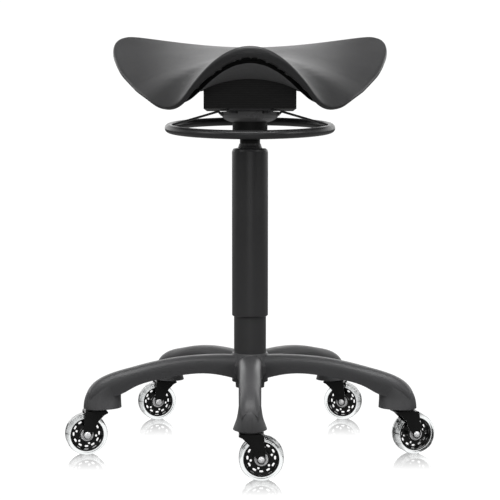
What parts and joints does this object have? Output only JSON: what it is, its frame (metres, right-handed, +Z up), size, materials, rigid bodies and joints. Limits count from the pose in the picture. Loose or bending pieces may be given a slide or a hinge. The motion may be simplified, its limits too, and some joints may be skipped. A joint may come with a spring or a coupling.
{
  "type": "saddle stool",
  "caption": "Saddle stool with a padded leather-look seat, gas lift, ring-shaped height lever and a star base on swivel castors with clear treads.",
  "frame": {"origin": "on the floor, on the column's axis, with the lift at its lowest position", "axes": "+Z up along the column, -Y to the front where the saddle's narrow end points, +X to the right seen from the front"},
  "size_m": [0.4996, 0.4297, 0.5788],
  "materials": {
    "base_nylon": "satin",
    "black_steel": "satin",
    "bush_plastic": "matte",
    "steel": "satin",
    "bright_steel": "polished",
    "rubber": "matte",
    "ring_plastic": "satin",
    "black_plywood": "satin",
    "shell_plywood": "matte",
    "dust_cloth": "matte",
    "leather": "satin",
    "hub_plastic": "gloss",
    "clear_tread": "gloss",
    "fork_plastic": "satin"
  },
  "bodies": {
    "base": {"star_base": "base_nylon", "standpipe": "black_steel", "guide_bush": "bush_plastic", "tube_foot": "steel", "thrust_race_lower": "steel", "thrust_balls": "bright_steel", "castor_stems": "bright_steel", "grip_rings": "steel", "stem_collars": "black_steel"},
    "lift_rod": {"piston_rod": "steel", "piston": "steel", "rod_clip": "steel", "thrust_race_upper": "steel", "buffer": "rubber"},
    "seat": {"pressure_cylinder": "black_steel", "cylinder_guide": "bush_plastic", "taper_socket": "black_steel", "release_dish": "black_steel", "mounting_plate": "black_steel", "plate_bolts": "steel", "tee_nuts": "steel", "riser_block": "black_plywood", "seat_shell": "shell_plywood", "dust_cover": "dust_cloth", "shell_screws": "steel", "cushion": "leather"},
    "ring_lever": {"lever_ring": "ring_plastic", "lever_spokes": "black_steel", "lever_shaft": "black_steel", "lever_finger": "black_steel"},
    "valve_button": {"valve_button": "steel"},
    "fork_1": {"fork_1": "fork_plastic", "axle_1": "bright_steel"},
    "wheel_1": {"wheel_hub_1": "hub_plastic", "tread_1": "clear_tread", "bearings_1": "bright_steel"},
    "fork_2": {"fork_2": "fork_plastic", "axle_2": "bright_steel"},
    "wheel_2": {"wheel_hub_2": "hub_plastic", "tread_2": "clear_tread", "bearings_2": "bright_steel"},
    "fork_3": {"fork_3": "fork_plastic", "axle_3": "bright_steel"},
    "wheel_3": {"wheel_hub_3": "hub_plastic", "tread_3": "clear_tread", "bearings_3": "bright_steel"},
    "fork_4": {"fork_4": "fork_plastic", "axle_4": "bright_steel"},
    "wheel_4": {"wheel_hub_4": "hub_plastic", "tread_4": "clear_tread", "bearings_4": "bright_steel"},
    "fork_5": {"fork_5": "fork_plastic", "axle_5": "bright_steel"},
    "wheel_5": {"wheel_hub_5": "hub_plastic", "tread_5": "clear_tread", "bearings_5": "bright_steel"}
  },
  "joints": [
    {"name": "seat_swivel", "type": "hinge", "parent": "base", "child": "lift_rod", "pos_m": [0, 0, 0.0859], "axis": [0, 0, 1], "continuous": true},
    {"name": "seat_lift", "type": "slide", "parent": "lift_rod", "child": "seat", "axis": [0, 0, 1], "range_m": [0, 0.2]},
    {"name": "lever_tilt", "type": "hinge", "parent": "seat", "child": "ring_lever", "pos_m": [0, -0.014, 0.4584], "axis": [-1, 0, 0], "range_deg": [0, 11], "stiffness_Nm_per_rad": 0.8, "springref_deg": -17.19},
    {"name": "button_press", "type": "slide", "parent": "seat", "child": "valve_button", "axis": [0, 0, -1], "range_m": [0, 0.0034]},
    {"name": "castor_swivel_1", "type": "hinge", "parent": "base", "child": "fork_1", "pos_m": [0, -0.218, 0.0584], "axis": [0, 0, 1], "continuous": true},
    {"name": "wheel_spin_1", "type": "hinge", "parent": "fork_1", "child": "wheel_1", "pos_m": [0.014, -0.218, 0.028], "axis": [0, 1, 0], "continuous": true},
    {"name": "castor_swivel_2", "type": "hinge", "parent": "base", "child": "fork_2", "pos_m": [0.20733, -0.06737, 0.0584], "axis": [0, 0, 1], "continuous": true},
    {"name": "wheel_spin_2", "type": "hinge", "parent": "fork_2", "child": "wheel_2", "pos_m": [0.22097, -0.06422, 0.028], "axis": [-0.225, 0.9744, 0], "continuous": true},
    {"name": "castor_swivel_3", "type": "hinge", "parent": "base", "child": "fork_3", "pos_m": [0.12814, 0.17637, 0.0584], "axis": [0, 0, 1], "continuous": true},
    {"name": "wheel_spin_3", "type": "hinge", "parent": "fork_3", "child": "wheel_3", "pos_m": [0.14172, 0.17298, 0.028], "axis": [0.2419, 0.9703, 0], "continuous": true},
    {"name": "castor_swivel_4", "type": "hinge", "parent": "base", "child": "fork_4", "pos_m": [-0.12814, 0.17637, 0.0584], "axis": [0, 0, 1], "continuous": true},
    {"name": "wheel_spin_4", "type": "hinge", "parent": "fork_4", "child": "wheel_4", "pos_m": [-0.14172, 0.17298, 0.028], "axis": [0.2419, -0.9703, 0], "continuous": true},
    {"name": "castor_swivel_5", "type": "hinge", "parent": "base", "child": "fork_5", "pos_m": [-0.20733, -0.06737, 0.0584], "axis": [0, 0, 1], "continuous": true},
    {"name": "wheel_spin_5", "type": "hinge", "parent": "fork_5", "child": "wheel_5", "pos_m": [-0.22097, -0.07051, 0.028], "axis": [0.225, -0.9744, 0], "continuous": true}
  ],
  "couplings": [
    {"joint": "button_press", "follows": "lever_tilt", "m_per_rad": 0.0175}
  ]
}
